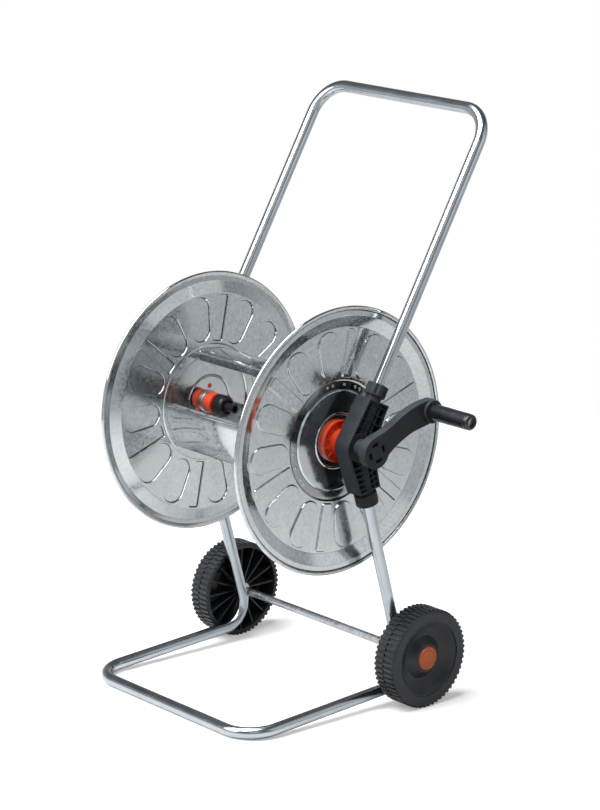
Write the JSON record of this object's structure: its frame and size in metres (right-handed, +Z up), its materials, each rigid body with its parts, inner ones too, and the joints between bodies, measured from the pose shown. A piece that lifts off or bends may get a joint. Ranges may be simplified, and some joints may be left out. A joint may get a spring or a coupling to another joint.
{
  "type": "garden hose reel cart",
  "caption": "Two-wheeled garden hose reel cart: pressed galvanised discs on an open drum, bent tube frame with lean-back handle, side crank and water fittings.",
  "frame": {"origin": "on the floor below the reel axis, midway between the two discs", "axes": "+X along the reel axis to the crank side, +Y to the back where the wheels are, +Z up"},
  "size_m": [0.5464, 0.4697, 0.882],
  "materials": {
    "tube": "bright zinc-plated drawn tube",
    "rod": "zinc-plated drawn bar",
    "steel_trim": "bright spring and stainless steel",
    "galvanised_sheet": "galvanised with fine spangle, glossy",
    "black_plastic": "fine moulded satin",
    "black_fitting": "moulded satin",
    "grip_plastic": "smooth moulded",
    "orange_hub": "smooth moulded",
    "orange_fitting": "smooth moulded",
    "orange_cap": "fine moulded satin",
    "wheel_plastic": "moulded, lightly grained",
    "seal_rubber": "smooth"
  },
  "bodies": {
    "frame": {"lower_frame": "tube", "handle_frame": "tube", "axle_rod": "rod", "axle_welds": "rod", "axle_washers": "rod", "axle_push_nuts": "steel_trim", "bracket_right": "black_plastic", "bracket_left": "black_plastic", "handle_nut_right": "black_plastic", "handle_nut_left": "black_plastic", "leg_nut_right": "black_plastic", "leg_nut_left": "black_plastic", "clamp_collets": "black_plastic", "inlet_spigot": "black_fitting", "inlet_screws": "steel_trim", "inlet_seals": "seal_rubber"},
    "reel": {"disc_right": "galvanised_sheet", "disc_left": "galvanised_sheet", "drum_plate_1": "galvanised_sheet", "drum_plate_2": "galvanised_sheet", "drum_plate_3": "galvanised_sheet", "plate_rivets": "steel_trim", "hub_right": "orange_hub", "hub_left": "orange_hub", "outlet_spigot": "black_fitting", "connector_body": "orange_fitting", "connector_ring": "steel_trim", "connector_nut": "black_fitting", "connector_seal": "seal_rubber", "hose_tail": "black_fitting", "crank_arm": "black_plastic", "grip_pin": "rod"},
    "sleeve": {"connector_sleeve": "orange_fitting"},
    "grip": {"crank_grip": "grip_plastic"},
    "wheel_right": {"wheel_right": "wheel_plastic", "wheel_cap_right": "orange_cap"},
    "wheel_left": {"wheel_left": "wheel_plastic", "wheel_cap_left": "orange_cap"}
  },
  "joints": [
    {"name": "reel_spin", "type": "hinge", "parent": "frame", "child": "reel", "pos_m": [0, 0, 0.412], "axis": [1, 0, 0], "continuous": true},
    {"name": "grip_spin", "type": "hinge", "parent": "reel", "child": "grip", "pos_m": [0.275, 0.1068, 0.4565], "axis": [1, 0, 0], "continuous": true},
    {"name": "sleeve_slide", "type": "slide", "parent": "reel", "child": "sleeve", "axis": [1, 0, 0], "range_m": [0, 0.003], "stiffness_N_per_m": 900, "springref_m": -0.004},
    {"name": "wheel_right_spin", "type": "hinge", "parent": "frame", "child": "wheel_right", "pos_m": [0.212, 0.1155, 0.0755], "axis": [1, 0, 0], "continuous": true},
    {"name": "wheel_left_spin", "type": "hinge", "parent": "frame", "child": "wheel_left", "pos_m": [-0.212, 0.1155, 0.0755], "axis": [1, 0, 0], "continuous": true}
  ]
}
